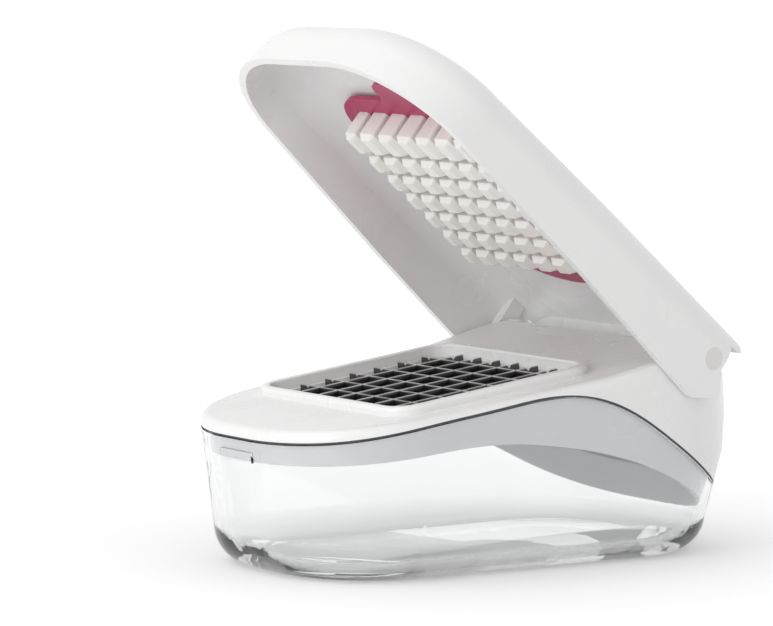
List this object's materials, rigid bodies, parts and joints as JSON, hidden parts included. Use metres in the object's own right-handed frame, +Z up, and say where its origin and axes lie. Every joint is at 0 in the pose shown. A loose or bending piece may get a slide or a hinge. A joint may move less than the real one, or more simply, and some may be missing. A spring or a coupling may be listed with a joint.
{
  "type": "vegetable cutter",
  "caption": "Press-lid vegetable cutter: clear catch tub, white head with a steel blade grid, hinged lid with square pusher pins and a crimson cleaning plate.",
  "frame": {"origin": "centre of the tub's flat base, on the table", "axes": "+Z up, +X from the front towards the hinge, so +Y is the far side in the picture"},
  "size_m": [0.1809, 0.1122, 0.1714],
  "materials": {
    "white_plastic": "moulded gloss",
    "clear_plastic": "clear moulded",
    "crimson_plastic": "moulded satin",
    "blade_steel": "ground edge",
    "seal_rubber": "matt",
    "bush_plastic": "moulded"
  },
  "bodies": {
    "tub": {"container": "clear_plastic"},
    "head": {"head_shell": "white_plastic", "head_skirt": "white_plastic", "rim_seal": "seal_rubber", "hinge_bush_left": "bush_plastic", "hinge_bush_right": "bush_plastic"},
    "lid": {"lid_shell": "white_plastic", "pusher": "white_plastic", "hinge_pin_left": "white_plastic", "hinge_pin_right": "white_plastic"},
    "cassette": {"cassette_frame": "white_plastic", "cassette_retainer": "white_plastic", "blade_long_1": "blade_steel", "blade_long_2": "blade_steel", "blade_long_3": "blade_steel", "blade_long_4": "blade_steel", "blade_long_5": "blade_steel", "blade_long_6": "blade_steel", "blade_cross_1": "blade_steel", "blade_cross_2": "blade_steel", "blade_cross_3": "blade_steel", "blade_cross_4": "blade_steel", "blade_cross_5": "blade_steel", "blade_cross_6": "blade_steel"},
    "plate": {"cleaning_plate": "crimson_plastic"}
  },
  "joints": [
    {"name": "head_lift", "type": "slide", "parent": "tub", "child": "head", "axis": [0, 0, 1], "range_m": [0, 0.06]},
    {"name": "lid_hinge", "type": "hinge", "parent": "head", "child": "lid", "pos_m": [0.05943, 0, 0.06643], "axis": [0, 1, 0], "range_deg": [-46.7, 6]},
    {"name": "cassette_lift", "type": "slide", "parent": "head", "child": "cassette", "axis": [-0.1368, 0, 0.9906], "range_m": [0, 0.004]},
    {"name": "plate_slide", "type": "slide", "parent": "lid", "child": "plate", "axis": [-0.6271, 0, -0.7789], "range_m": [0, 0.003]}
  ]
}
